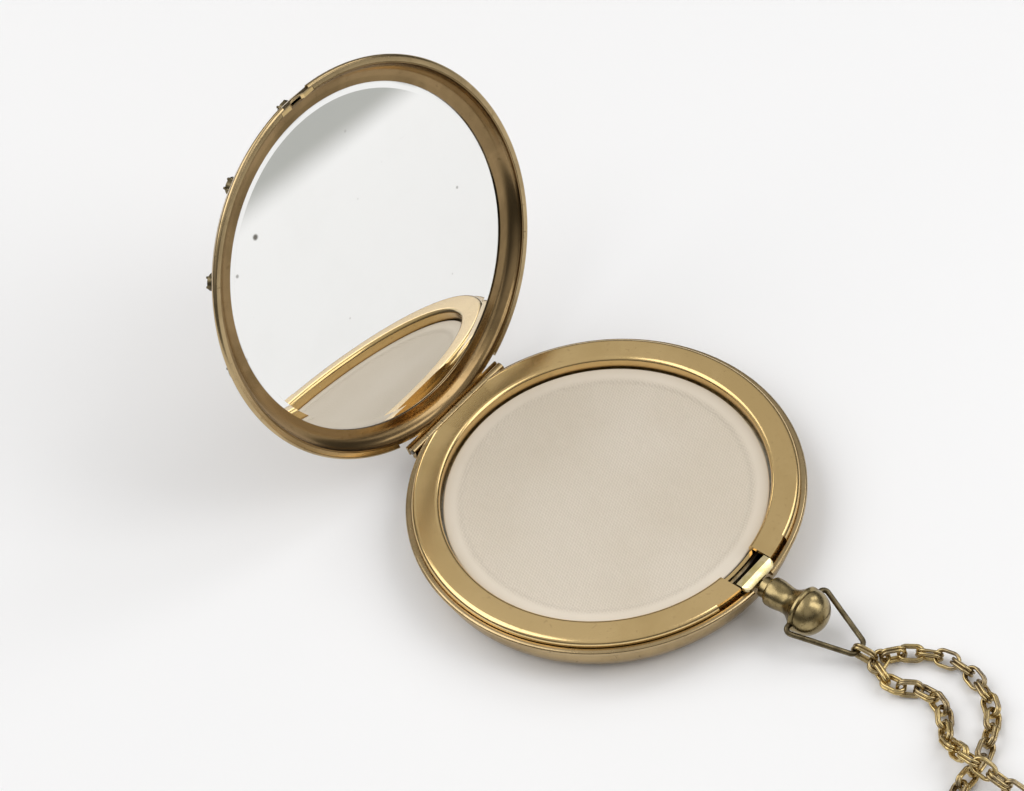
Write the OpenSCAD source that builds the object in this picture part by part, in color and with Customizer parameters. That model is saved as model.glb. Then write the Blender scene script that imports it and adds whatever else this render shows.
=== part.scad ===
// Compact mirror in the form of a hunter pocket watch: a round brass case with a powder pan and a cloth
// sifter, a hinged lid that holds a bevelled mirror, a push crown that works the latch, and a double-link
// chain on the crown's bail. Millimetres, +Z up. The origin is at the middle of the case's flat foot, the
// hinge lies towards +Y and the crown towards -Y. The lid is drawn closed and then turned open.

/* [Case] */
// Diameter of the case over its bead
case_d = 65; // [60:0.5:75]
// Height of the inner ring's top above the foot
case_h = 8.5; // [8.3:0.1:9.5]
// Thickness of the case wall
case_wall = 0.6; // [0.45:0.05:0.7]
// Radius of the rounded edge between the foot and the wall
foot_round = 4.4; // [3.8:0.1:4.8]
// How far the bead stands out from the wall
bead_out = 1.1; // [0.9:0.05:1.3]
// Thickness of the bead
bead_t = 0.9; // [0.7:0.05:0.95]

/* [Inner ring] */
// Width of the polished ring between its outer edge and its bore
ring_w = 4.7; // [4.2:0.1:5.4]
// Radius of the ring's rounded outer edge
ring_edge = 0.9; // [0.6:0.05:1]
// Radius of the ring's rounded inner lip
ring_lip = 0.8; // [0.75:0.05:1.2]
// Thickness of the ring's pressed sheet
ring_sheet = 0.6; // [0.4:0.05:0.7]

/* [Powder pan and sifter] */
// Thickness of the pan's sheet
pan_sheet = 0.4; // [0.3:0.05:0.5]
// Depth of the sifter's seat below the ring's top
seat_drop = 3; // [2.8:0.1:3.3]
// Thickness of the sifter's hoop
hoop_t = 0.8; // [0.6:0.05:0.9]
// Width of the sifter's hoop
hoop_w = 2.45; // [2:0.05:3]
// Thickness of the sifter cloth
cloth_t = 0.2; // [0.15:0.01:0.25]

/* [Lid] */
// Angle that the lid stands open from closed
lid_open_angle = 109.5; // [90:0.5:115]
// How far the lid's rim stands out over the case's bead
lid_over = 0.57; // [0.4:0.01:0.7]
// Thickness of the lid's rim
rim_t = 0.98; // [0.9:0.02:1.1]
// Width of the lid's rim
rim_w = 1.12; // [1.05:0.01:1.2]
// Radial width of the lid's rounded shoulder
shoulder_w = 5.2; // [4.8:0.1:5.6]
// Height of the lid's rounded shoulder
shoulder_h = 3.6; // [3.5:0.05:4]
// Rise of the lid's middle above its shoulder
dome_rise = 0.5; // [0.3:0.05:1]
// Thickness of the lid's wall
lid_wall = 0.5; // [0.4:0.02:0.55]

/* [Mirror] */
// Width of the cove between the glass and the lid's rim
cove_w = 2.85; // [2.4:0.05:4.5]
// Thickness of the mirror glass
mirror_t = 1; // [0.8:0.05:1.05]
// Width of the bevelled band round the glass
bevel_w = 1.5; // [1:0.1:2.5]
// Depth of the bevel at the edge of the glass
bevel_depth = 0.3; // [0.2:0.05:0.4]

/* [Hinge] */
// Length of the hinge barrel
barrel_l = 22.5; // [18:0.5:24]
// Diameter of the hinge barrel
barrel_d = 1.5; // [1.4:0.02:1.56]
// Diameter of the hinge pin
pin_d = 0.7; // [0.6:0.02:0.8]
// Thickness of the hinge leaves
leaf_t = 0.42; // [0.36:0.02:0.46]

/* [Latch and crown] */
// Travel of the crown when it is pressed
press_travel = 0.9; // [0.8:0.02:0.92]
// Width of the latch plate
latch_w = 7; // [6:0.1:8]
// Thickness of the latch plate
latch_t = 0.85; // [0.8:0.01:0.9]
// Diameter of the stem between the crown and the latch plate
stem_d = 1.6; // [1.4:0.05:1.8]
// Diameter of the crown's neck
neck_d = 3.5; // [3.2:0.05:3.6]
// Diameter of the crown's collar
collar_d = 4.9; // [4.5:0.05:5.1]
// Diameter of the crown's waist
waist_d = 4.4; // [4:0.05:4.8]
// Diameter of the crown's head
head_d = 7.8; // [7.2:0.1:8]
// Distance from the collar's face to the head's ridge
head_reach = 6.5; // [6:0.1:7.5]
// Length of the domed cap on the head
dome_l = 3.5; // [3:0.1:4]

/* [Bail] */
// Diameter of the bail's wire
bail_wire = 0.9; // [0.7:0.05:1]
// Width of the bail across its shoulders
bail_w = 10.6; // [10.2:0.1:12]
// Reach of the bail from its pivot to its end
bail_l = 10.6; // [9:0.1:12]
// Angle that the bail hangs below the level
bail_droop = 20; // [15:1:22]

/* [Chain] */
// Outer length of a chain link
link_l = 4.5; // [4.3:0.05:4.8]
// Outer width of a chain link
link_w = 3; // [2.9:0.05:3.2]
// Diameter of the chain's wire
link_wire = 0.55; // [0.4:0.05:0.6]
// Distance between the two links of a pair
pair_gap = 0.6; // [0.6:0.02:0.68]
// Distance from one pair of links to the next
chain_pitch = 2.95; // [2.8:0.05:3]

/* [Hour markers] */
// Number of stones round the lid
hour_count = 12; // [8:1:12]
// Diameter of a stone's setting
setting_d = 3.2; // [2.6:0.1:3.4]
// Height of a setting above the lid
setting_h = 1.3; // [1:0.1:1.6]

/* [Hidden] */
$fn = 96;

// General values
cut = 1; // overrun of every cut
fit = 0.05; // clearance of pieces that are pressed or soldered together
slack = 0.1; // clearance of pieces that pass each other
small_fn = 32; // fineness of the smallest round parts
brass = "#b29864";
polished = "#c9ab6c";
aged = "#8c7f55";

// Case
case_r = case_d / 2;
wall_r = case_r - bead_out;
bore_r = wall_r - case_wall;
bead_root = 0.2; // width of the groove between the wall line and the bead
bead_drop = 1.74; // depth of the bead's middle below the ring's top
bead_z = case_h - bead_drop;
bead_top = bead_z + bead_t / 2;
ledge_drop = 1.9; // depth of the ring's ledge below its top
ledge_z = case_h - ledge_drop;
foot_r = wall_r - foot_round;

// Inner ring
ring_gap = 0.15; // gap between the ring and the bead
ring_r = wall_r + bead_root - ring_gap;
ring_bore = ring_r - ring_w;
skirt_l = 2.2; // depth of the ring's skirt below the ledge
skirt_r = bore_r - fit;
sleeve_r = ring_bore + ring_sheet;
seat_z = case_h - seat_drop;
square_edge = 8.5; // half length of the ring's square outer edge beside the latch
square_in = 0.35; // how far that edge lies inside the ring's outer radius
ring_solid = 1.85; // width of the ring's solid outer part
ring_flat = 1.3; // depth of the flat on the ring's edge before the hinge

// Powder pan and sifter
pan_step = 0.45; // how far the pan's wall lies inside the ring's bore
pan_rim = 0.25; // how far the pan's flange reaches under the ring's sleeve and past it
pan_r = ring_bore - pan_step;
flange_r = sleeve_r + pan_rim;
floor_z = case_wall;
powder_drop = 0.5; // depth of the powder below the sifter's seat
hoop_gap = 0.3; // gap between the sifter and the ring's bore
hoop_r = ring_bore - hoop_gap;
hoop_z = seat_z + hoop_t;
cloth_sink = 0.5; // depth of the stretched cloth below its border
cloth_top = hoop_z + cloth_t;

// Lid, closed
rim_gap = 0.06; // gap between the rims of the closed case
lid_r = case_r + lid_over;
rim_z = bead_top + rim_gap;
rim_top = rim_z + rim_t;
rim_in = lid_r - rim_w;
shoulder_step = 0.25; // how far the shoulder's foot stands outside the rim's bore
shoulder_r = rim_in + shoulder_step;
shoulder_c = shoulder_r - shoulder_w; // radius of the middle of the shoulder's arc
lid_top = rim_top + shoulder_h;
arc_steps = 12;
dome_steps = 6;

// Mirror and bezel
mirror_r = rim_in - cove_w;
mirror_rise = 1.2; // height of the glass face above the rim
mirror_z = rim_top + mirror_rise;
bezel_r = rim_in - fit;
bezel_sheet = 0.2;
bezel_z = rim_z + fit;
bezel_edge = 0.2; // straight height of the bezel's edge
bezel_lap = 0.6; // how far the bezel covers the glass
bezel_flat = 0.84; // width of the bezel's flat lip beside the glass
bezel_lip = 0.22; // thickness of the bezel over the glass
bezel_hold = 0.35; // how far the bezel's socket rises beside the glass
bezel_land = 1; // width of the bezel's socket
card_t = 0.4; // thickness of the backing card
card_in = 1.8; // how far the card lies inside the edge of the glass

// Hinge
barrel_r = barrel_d / 2;
leaf_gap = slack;
hinge_z = rim_z - leaf_t - leaf_gap - barrel_r;
hinge_in = 0.5; // how far the hinge's axis lies inside the bead
hinge_y = case_r - hinge_in;
knuckles = 6;
knuckle_l = barrel_l / knuckles;
knuckle_gap = 0.08;
pin_gap = 0.03; // running clearance of the pin in the lid's knuckles
pin_head = 0.12; // how far the peened pin stands out of the barrel
pocket_y = hinge_y - barrel_r - leaf_gap;
pocket_z = hinge_z - barrel_r - leaf_gap;
pocket_side = 0.15; // clearance at the ends of the barrel
web_in = 0.2; // how far the lid leaf's webs start outside the hinge's axis
break_side = 0.85; // how far the break in the lid's rim runs past the barrel

// Crown, along its axis: distances to the front of the case's middle
crown_drop = 2.4; // depth of the crown's axis below the ring's top
crown_z = case_h - crown_drop;
neck_at = wall_r + press_travel + fit;
collar_at = case_r + press_travel + slack;
collar_round = 0.7; // length of the collar's rounded face
collar_l = 1.4; // length of the collar before it narrows
waist_reach = 3.8; // distance from the collar's face to the waist
waist_at = collar_at + waist_reach;
ridge_at = collar_at + head_reach;
ridge_t = 0.35; // width of the head's ridge
groove_in = 0.4; // depth of the groove behind the ridge
groove_l = 0.65; // length of that groove
groove_r = head_d / 2 - groove_in;
dome_at = ridge_at + ridge_t + groove_l;
dome_r = head_d / 2 - fit;
head_steps = 8;

// Latch
latch_proud = 0.1; // how far the latch plate stands above the ring
latch_top = case_h + latch_proud;
latch_low = latch_top - latch_t;
latch_in = 0.4; // how far the latch's tip lies inside the bead
latch_tip = case_r - latch_in;
latch_l = 2.3; // length of the latch plate along the crown's axis
latch_back = latch_tip - latch_l;
latch_corner = 0.9; // radius of the plate's outer corners
latch_slope = 1.2; // length of the plate's sloped outer strip
latch_fall = 0.5; // fall of that strip
block_t = 0.5; // thickness of the block under the plate
tongue_w = 2.4; // width of the tongue that the spring bears on
tongue_drop = 3.2; // how far the tongue reaches below the crown's axis
tongue_z = crown_z - tongue_drop;
notch_side = 0.25; // clearance beside the plate
notch_half = latch_w / 2 + notch_side;
notch_depth = 2.95; // how far the notch goes through the ring from its edge
notch_in = ring_r - notch_depth;
stem_r = stem_d / 2;
rivet_lap = 0.3; // how far the riveted end spreads past the stem
rivet_r = stem_r + rivet_lap;
rivet_t = 0.5;
guide_gap = 0.05; // running clearance of the stem in its guide
guide_half = neck_d / 2 + slack;
bead_break = 2.3; // half width of the break in the bead
spring_drop = 2.2; // how far the spring's axis lies below the crown's
spring_z = crown_z - spring_drop;
spring_wire = 0.25;
spring_r = 0.85; // radius of the spring's coil
spring_turns = 4;
spring_rings = 10; // rings to a turn
spring_sides = 6;
catch_t = 0.4; // thickness of the catch under the latch's nose
catch_in = 0.65; // how far the catch reaches under the nose
nose_gap = 0.15; // clearance round the nose in the lid
catch_y = latch_tip + nose_gap;
neck_gap = 0.2; // clearance of the neck in the lid
collar_gap = 0.45; // clearance of the collar in the lid's rim
neck_relief = neck_d / 2 + neck_gap;
collar_relief = collar_d / 2 + collar_gap;

// Bail
bail_r = bail_wire / 2;
bail_y = ridge_at + ridge_t / 2; // distance of the pivot in front of the case's middle
bail_seat = 1.3; // how deep the bail's ends sit in the head
bail_tip = 0.6; // length over which each end of the bail is upset to its pivot
bail_tip_r = bail_r + fit / 2;
bail_bore = bail_tip_r + fit;
bail_steps = 6; // points to a bend
bail_sides = 16;
bail_shoulder = 0.8; // radius of the bail's shoulders
bail_bend = 1; // radius of the bends at the bail's end
bail_bar = 2.76; // length of the bail's end
bail_lean = 0.9; // how far the bail's end leans to the side
bail_pin = head_d / 2 - bail_seat;

// Chain
link_bend = (link_w - link_wire) / 2; // radius of a link's round ends
link_run = link_l - link_w; // length of a link's straight sides
// The chain's route, from the right end of the hitch round to its left end: it passes under itself
// near the crossing, turns in an open loop and comes back over itself
route = [
    [2.3, -53.8, 1.8], [5.2, -56.4, 1.55], [7.6, -61.4, 1.55], [7.8, -65.2, 1.55], [6.9, -68.4, 1.55],
    [4.1, -73.2, 1.55], [-0.5, -76, 1.55], [-5.1, -77.6, 1.55], [-8.6, -77.7, 1.55], [-12.5, -78.2, 1.55],
    [-18, -82, 1.55], [-20.4, -86.9, 1.55], [-19.7, -92.4, 1.55], [-15.6, -96.3, 1.55],
    [-11.1, -96.8, 1.55], [-6.5, -92.7, 1.55], [-6.6, -87.4, 1.7], [-7.1, -83.1, 3.4], [-7.2, -77.8, 4.8],
    [-6.1, -73.7, 3], [-4.1, -70.2, 1.55], [-0.7, -67.7, 1.55], [0.9, -63.3, 1.55], [-0.5, -60, 1.55],
    [-1.5, -58, 1.55], [0, -54.1, 1.8]];
route_steps = 8; // samples to a span of the route
hitch_pull = [0.15, -0.96, -0.22]; // direction in which the hitch pulls from the bail's end
hitch_side = 0.35; // how far the hitch lies to the left of the middle of the bail's end
hook_turn = 90; // roll of the hitch's first pair, on edge
lie_turn = 40; // roll of the pairs where the chain lies slack
wave_turn = 8; // how far the roll wanders along the chain
wave_step = 50; // how fast it wanders
easing_pairs = 5; // pairs over which the chain turns from the hitch's roll to its lie
strand_shares = [0, 0.16, 0.34, 0.66, 0.82, 1]; // where one strand of the chain ends and the next starts

// Hour markers
setting_r = setting_d / 2;
setting_in = 3.67; // distance of the ring of stones from the lid's edge
setting_ring = lid_r - setting_in;
claw_r = 0.3; // radius of a claw
claw_lap = 0.1; // how far the claws stand outside the cup
cup_r = setting_r - claw_lap; // radius of the setting's cup at its top
cup_foot = setting_r - claw_r; // radius of the cup at its foot
cup_h = 0.8; // height of the cup
stone_r = 0.9; // radius of a stone at its girdle
girdle_h = 0.26; // height of a stone's girdle
table_r = 0.54; // radius of a stone's flat top
crown_h = 0.32; // height of a stone's sloped facets

// A curve from 0 to 1 that starts and ends level
function ease(t) = (1 - cos(180 * t)) / 2;

// Points on an arc of an ellipse about c, from angle a to angle b
function arc(c, rx, ry, a, b, steps) =
    [for (i = [0 : steps]) let (t = a + (b - a) * i / steps) [c[0] + rx * cos(t), c[1] + ry * sin(t)]];

// A ring's section between two radii and two heights
module section(r_in, r_out, z_low, z_high) {
    translate([r_in, z_low]) square([r_out - r_in, z_high - z_low]);
}

// A disc between two heights
module disc(r, z_low, z_high) {
    translate([0, 0, z_low]) cylinder(r = r, h = z_high - z_low);
}

// A box given by its corners
module block(low, high) {
    translate(low) cube(high - low);
}

// Turns a piece's own z axis towards the front, along the crown's axis
module along_crown() {
    translate([0, 0, crown_z]) rotate([90, 0, 0]) children();
}

// Opens the lid about its hinge
module lid_open() {
    translate([0, hinge_y, hinge_z]) rotate([-lid_open_angle, 0, 0])
        translate([0, -hinge_y, -hinge_z]) children();
}

// One knuckle of the hinge's barrel, with a bore of the given radius
module knuckle(index, bore) {
    translate([-barrel_l / 2 + index * knuckle_l + knuckle_gap / 2, hinge_y, hinge_z]) rotate([0, 90, 0])
        difference() {
            cylinder(r = barrel_r, h = knuckle_l - knuckle_gap, $fn = small_fn);
            translate([0, 0, -cut]) cylinder(r = bore, h = knuckle_l + 2 * cut, $fn = small_fn);
        }
}

module base_case() {
    color(brass) difference() {
        rotate_extrude() difference() {
            union() {
                section(0, foot_r, 0, foot_round);
                intersection() {
                    translate([foot_r, foot_round]) circle(foot_round);
                    section(0, wall_r + cut, 0, foot_round);
                }
                section(0, wall_r, foot_round, ledge_z);
                section(wall_r - case_wall, wall_r + bead_root + bead_t / 2, bead_z - bead_t / 2, ledge_z);
                section(wall_r + bead_root, case_r - bead_t / 2, bead_z - bead_t / 2, bead_top);
                translate([case_r - bead_t / 2, bead_z]) circle(d = bead_t);
            }
            section(0, foot_r, floor_z, foot_round);
            intersection() {
                translate([foot_r, foot_round]) circle(foot_round - case_wall);
                section(foot_r, wall_r, floor_z, foot_round);
            }
            section(0, bore_r, foot_round, case_h);
        }
        block([-barrel_l / 2 - pocket_side, pocket_y, pocket_z],
            [barrel_l / 2 + pocket_side, case_r + cut, case_h]);
        along_crown() translate([0, 0, foot_r]) cylinder(r = guide_half, h = case_r);
        block([-guide_half, -case_r - cut, crown_z], [guide_half, -foot_r, case_h]);
        block([-bead_break, -case_r - cut, bead_z - bead_t / 2 - fit], [bead_break, -wall_r, case_h]);
    }
}

module inner_ring() {
    color(polished) difference() {
        union() {
            rotate_extrude() difference() {
                union() {
                    section(ring_bore + ring_lip, ring_r - ring_edge, ledge_z, case_h);
                    translate([ring_bore + ring_lip, case_h - ring_lip]) circle(ring_lip);
                    translate([ring_r - ring_edge, case_h - ring_edge]) circle(ring_edge);
                    section(ring_r - ring_edge, ring_r, ledge_z, case_h - ring_edge);
                    section(ring_bore, ring_bore + ring_lip, seat_z, case_h - ring_lip);
                    section(skirt_r - ring_sheet, skirt_r, ledge_z - skirt_l, case_h - ring_sheet);
                }
                translate([ring_bore + ring_lip, case_h - ring_lip]) circle(ring_lip - ring_sheet);
                section(ring_bore + ring_lip, ring_r - ring_solid, seat_z - cut, case_h - ring_sheet);
                section(sleeve_r, ring_bore + ring_lip + fit, seat_z - cut, case_h - ring_lip);
            }
            rotate([0, 0, -90 - square_turn()]) rotate_extrude(angle = 2 * square_turn())
                section(ring_r - ring_edge, ring_r - square_in, case_h - ring_edge, case_h);
        }
        block([-notch_half, -ring_r - cut, 0], [notch_half, -notch_in, case_h + cut]);
        block([-notch_half, -notch_in - cut, ledge_z], [notch_half, -ring_bore + ring_w, case_h + cut]);
        block([-barrel_l / 2, ring_r - ring_flat, ledge_z], [barrel_l / 2, ring_r + cut, case_h + cut]);
    }
}

// Half the angle over which the ring keeps its square edge
function square_turn() = asin(square_edge / ring_r);

module powder_pan() {
    color(brass) difference() {
        union() {
            disc(pan_r, floor_z, seat_z - pan_sheet + fit);
            disc(flange_r, seat_z - pan_sheet, seat_z);
        }
        disc(pan_r - pan_sheet, floor_z + pan_sheet, seat_z + cut);
    }
}

module powder_fill() {
    color("#e6cdb2") disc(pan_r - pan_sheet - slack, floor_z + pan_sheet, seat_z - powder_drop);
}

module sifter_hoop() {
    color("#b8b4aa") rotate_extrude() section(hoop_r - hoop_w, hoop_r, seat_z, hoop_z);
}

// The sifter's cloth: a raised border over the hoop and a stretched middle inside it
module sifter_cloth() {
    inner = hoop_r - hoop_w - fit;
    color("#d3c9ba") rotate_extrude() polygon([
        [0, cloth_top - cloth_sink], [inner, cloth_top - cloth_sink], [inner, hoop_z], [hoop_r - fit, hoop_z],
        [hoop_r - fit, cloth_top], [inner - cloth_t, cloth_top],
        [inner - cloth_t, cloth_top - cloth_sink + cloth_t], [0, cloth_top - cloth_sink + cloth_t]]);
}

// The leaf on the case: a strip under the barrel against the wall, with risers to its own knuckles
module base_hinge_leaf() {
    low = pocket_z - leaf_t;
    color(brass) {
        difference() {
            union() {
                difference() {
                    block([-barrel_l / 2, foot_r, low], [barrel_l / 2, hinge_y, pocket_z]);
                    disc(wall_r, 0, case_h);
                }
                for (i = [0 : 2 : knuckles - 1])
                    block([-barrel_l / 2 + i * knuckle_l + knuckle_gap / 2, pocket_y + leaf_gap, pocket_z],
                        [-barrel_l / 2 + (i + 1) * knuckle_l - knuckle_gap / 2, hinge_y, hinge_z]);
            }
            translate([0, hinge_y, hinge_z]) rotate([0, 90, 0])
                cylinder(r = pin_d / 2 + pin_gap, h = barrel_l + cut, center = true, $fn = small_fn);
        }
        for (i = [0 : 2 : knuckles - 1]) knuckle(i, pin_d / 2 + pin_gap);
    }
}

module hinge_pin() {
    color("#9a9a94") translate([0, hinge_y, hinge_z]) rotate([0, 90, 0])
        cylinder(d = pin_d, h = barrel_l + 2 * pin_head, center = true, $fn = small_fn);
}

// The bush in the front wall that guides the stem
module stem_guide() {
    color(brass) difference() {
        along_crown() translate([0, 0, skirt_r]) cylinder(r = guide_half - fit, h = wall_r - skirt_r);
        along_crown() translate([0, 0, foot_r]) cylinder(r = stem_r + guide_gap, h = case_r, $fn = small_fn);
        block([-bead_break, -case_r, latch_low - fit], [bead_break, -foot_r, case_h + cut]);
    }
}

module return_spring() {
    free = latch_back - press_travel - fit - (pan_r + fit) - spring_wire;
    count = spring_turns * spring_rings;
    points = [for (i = [0 : count]) let (a = 360 * i / spring_rings) for (j = [0 : spring_sides - 1])
        let (b = 360 * j / spring_sides, r = spring_r + spring_wire / 2 * cos(b))
            [r * cos(a), -(pan_r + fit + spring_wire / 2 + free * i / count + spring_wire / 2 * sin(b)),
                spring_z + r * sin(a)]];
    color("silver") polyhedron(points, tube_faces(count, spring_sides));
}

// Faces of a tube of rings with closed ends, and each side split into two triangles
function tube_faces(count, sides) = concat(
    [for (j = [1 : sides - 2]) [0, j + 1, j]],
    [for (j = [1 : sides - 2]) [count * sides, count * sides + j, count * sides + j + 1]],
    [for (i = [0 : count - 1], j = [0 : sides - 1]) let (k = (j + 1) % sides)
        [i * sides + j, i * sides + k, (i + 1) * sides + k]],
    [for (i = [0 : count - 1], j = [0 : sides - 1]) let (k = (j + 1) % sides)
        [i * sides + j, (i + 1) * sides + k, (i + 1) * sides + j]]);

module lid_shell() {
    dome = [for (i = [0 : dome_steps - 1]) let (t = i / dome_steps)
        [shoulder_c * t, lid_top + dome_rise * (1 - t * t)]];
    dome_in = [for (i = [dome_steps - 1 : -1 : 0]) let (t = i / dome_steps)
        [shoulder_c * t, lid_top - lid_wall + dome_rise * (1 - t * t)]];
    outer = arc([shoulder_c, rim_top], shoulder_w, shoulder_h, 90, 0, arc_steps);
    inner = arc([shoulder_c, rim_top], shoulder_w - lid_wall, shoulder_h - lid_wall, 0, 90, arc_steps);
    rim_edge = arc([lid_r - rim_t / 2, rim_z + rim_t / 2], rim_t / 2, rim_t / 2, 90, -90, arc_steps);
    color(brass) lid_open() difference() {
        rotate_extrude() polygon(concat(dome, outer, rim_edge, [[rim_in, rim_z], [rim_in, rim_top]],
            inner, dome_in));
        hinge_break();
        nose_pocket(latch_top - nose_gap);
        along_crown() translate([0, 0, wall_r]) cylinder(r = neck_relief, h = case_r);
        block([-collar_relief, -lid_r - cut, 0], [collar_relief, -case_r, rim_top + cut]);
    }
}

// The break in the lid's rim over the hinge's barrel
module hinge_break() {
    half = barrel_l / 2 + break_side;
    difference() {
        block([-half, 0, rim_z - cut], [half, lid_r + cut, rim_top + cut]);
        disc(shoulder_r + fit, 0, lid_top);
    }
}

// The room in the lid for the latch's nose: through the rim below, and inside the wall up to a height
module nose_pocket(top) {
    half = notch_half - fit;
    block([-half, -catch_y, rim_z - cut], [half, -mirror_r - nose_gap, rim_top]);
    block([-half, -rim_in, rim_z - cut], [half, -mirror_r - nose_gap, top]);
}

// The bright bezel: a cove between the lid's rim and the glass, with a socket that holds the glass
module mirror_bezel() {
    edge = mirror_r - bezel_lap;
    socket = mirror_r + slack;
    lip_z = mirror_z - fit - bezel_lip;
    cove = arc([edge + bezel_flat, bezel_z + bezel_edge], bezel_r - bezel_sheet - edge - bezel_flat,
        lip_z - bezel_z - bezel_edge, 90, 0, arc_steps);
    color(brass) lid_open() difference() {
        rotate_extrude() polygon(concat(
            [[bezel_r - bezel_sheet, bezel_z], [bezel_r, bezel_z], [bezel_r, rim_top - fit],
                [shoulder_r - lid_wall - fit, rim_top - fit], [mirror_r + bezel_land, mirror_z + bezel_hold],
                [socket, mirror_z + bezel_hold], [socket, mirror_z - fit], [edge, mirror_z - fit],
                [edge, lip_z]], cove));
        nose_pocket(latch_top + nose_gap);
        along_crown() translate([0, 0, foot_r]) cylinder(r = neck_relief, h = case_r);
    }
}

module mirror_glass() {
    color("#dfe3e3") lid_open() rotate_extrude() polygon([[0, mirror_z], [mirror_r - bevel_w, mirror_z],
        [mirror_r, mirror_z + bevel_depth], [mirror_r, mirror_z + mirror_t], [0, mirror_z + mirror_t]]);
}

module mirror_backing() {
    color("#8a7a62") lid_open() disc(mirror_r - card_in, mirror_z + mirror_t, mirror_z + mirror_t + card_t);
}

// The leaf under the lid's rim, with webs down to its own knuckles
module lid_hinge_leaf() {
    color(brass) lid_open() {
        difference() {
            union() {
                block([-barrel_l / 2, pocket_y + leaf_gap, rim_z - leaf_t],
                    [barrel_l / 2, hinge_y + barrel_r, rim_z]);
                for (i = [1 : 2 : knuckles - 1])
                    block([-barrel_l / 2 + i * knuckle_l + knuckle_gap / 2, hinge_y + web_in, hinge_z],
                        [-barrel_l / 2 + (i + 1) * knuckle_l - knuckle_gap / 2, hinge_y + barrel_r, rim_z]);
            }
            translate([0, hinge_y, hinge_z]) rotate([0, 90, 0])
                cylinder(r = pin_d / 2 + pin_gap, h = barrel_l + cut, center = true, $fn = small_fn);
        }
        for (i = [1 : 2 : knuckles - 1]) knuckle(i, pin_d / 2 + pin_gap);
    }
}

// The catch under the latch's nose, with a round relief for the crown's neck
module lid_catch() {
    color(polished) lid_open() difference() {
        block([-notch_half + fit + slack, -catch_y, latch_low - fit - catch_t],
            [notch_half - fit - slack, -catch_y + catch_in, latch_low - fit]);
        along_crown() translate([0, 0, foot_r]) cylinder(r = neck_relief, h = case_r);
    }
}

// Places a piece on the lid's shoulder at each hour, its own z axis along the shoulder's normal
module each_hour() {
    reach = setting_ring - shoulder_c;
    rise = sqrt(1 - pow(reach / shoulder_w, 2));
    lean = atan2(reach / pow(shoulder_w, 2), rise / shoulder_h);
    lid_open() for (i = [0 : hour_count - 1]) rotate([0, 0, 360 * i / hour_count])
        translate([setting_ring, 0, rim_top + shoulder_h * rise]) rotate([0, lean, 0]) children();
}

// Claw settings: a flared cup with four claws over the stone
module hour_settings() {
    color(aged) each_hour() {
        translate([0, 0, fit]) cylinder(r1 = cup_foot, r2 = cup_r, h = cup_h, $fn = small_fn);
        for (a = [45 : 90 : 315]) rotate([0, 0, a]) translate([setting_r - claw_r, 0, 2 * fit])
            cylinder(r = claw_r, h = setting_h, $fn = small_fn);
    }
}

module hour_stones() {
    color("#f2f2ee") each_hour() translate([0, 0, cup_h + 2 * fit]) {
        cylinder(r = stone_r, h = girdle_h, $fn = small_fn);
        translate([0, 0, girdle_h]) cylinder(r1 = stone_r, r2 = table_r, h = crown_h, $fn = small_fn);
    }
}

// The crown: neck, collar, waist and flared head, turned about its axis
module crown_body() {
    collar = arc([collar_at + collar_round, neck_d / 2], collar_round, (collar_d - neck_d) / 2,
        180, 90, head_steps);
    fall = [for (i = [1 : head_steps]) let (t = i / head_steps)
        [collar_at + collar_l + (waist_at - collar_at - collar_l) * t,
            collar_d / 2 + (waist_d - collar_d) / 2 * ease(t)]];
    flare = [for (i = [1 : head_steps]) let (t = i / head_steps)
        [waist_at + (ridge_at - waist_at) * t, waist_d / 2 + (head_d - waist_d) / 2 * (1 - cos(90 * t))]];
    outline = concat([[neck_at, 0], [neck_at, neck_d / 2]], collar,
        [[collar_at + collar_l, collar_d / 2]], fall, flare,
        [[ridge_at + ridge_t, head_d / 2], [ridge_at + 2 * ridge_t, groove_r], [dome_at, groove_r],
            [dome_at, 0]]);
    color(aged) difference() {
        along_crown() rotate_extrude() polygon([for (p = outline) [p[1], p[0]]]);
        along_crown() cylinder(r = stem_r + fit, h = dome_at - fit, $fn = small_fn);
        for (s = [-1, 1]) translate([s * (bail_pin - fit), -bail_y, crown_z]) rotate([0, s * 90, 0])
            cylinder(r = bail_bore, h = head_d, $fn = small_fn);
    }
}

// The domed cap on the head
module crown_dome() {
    color(aged) along_crown() rotate_extrude()
        polygon(concat([[0, dome_at]], arc([0, dome_at], dome_r, dome_l, 0, 90, 2 * head_steps)));
}

module crown_stem() {
    color(brass) along_crown() translate([0, 0, latch_back])
        cylinder(r = stem_r, h = dome_at - 2 * fit - latch_back, $fn = small_fn);
}

// The latch plate: a plate with a sloped tip on a block that the stem carries, and the spring's tongue
module latch_plate() {
    half = latch_w / 2;
    color(polished) {
        intersection() {
            translate([0, 0, latch_low]) linear_extrude(latch_t) {
                translate([-half, -latch_tip + latch_corner]) square([latch_w, latch_l - latch_corner]);
                translate([-half + latch_corner, -latch_tip]) square([latch_w - 2 * latch_corner, latch_l]);
                for (s = [-1, 1]) translate([s * (half - latch_corner), -latch_tip + latch_corner])
                    circle(latch_corner);
            }
            translate([-half, 0, 0]) rotate([90, 0, 90]) linear_extrude(latch_w) polygon([
                [-latch_back, latch_low - fit], [-latch_back, latch_top],
                [-latch_tip + latch_slope, latch_top], [-latch_tip, latch_top - latch_fall],
                [-latch_tip, latch_low - fit]]);
        }
        difference() {
            union() {
                block([-half, -latch_back - block_t, crown_z - stem_r - rivet_t / 2],
                    [half, -latch_back, latch_low + fit]);
                block([-tongue_w / 2, -latch_back - block_t, tongue_z], [tongue_w / 2, -latch_back, crown_z]);
            }
            along_crown() translate([0, 0, latch_back - cut])
                cylinder(r = stem_r, h = block_t + 2 * cut, $fn = small_fn);
        }
    }
}

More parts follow.
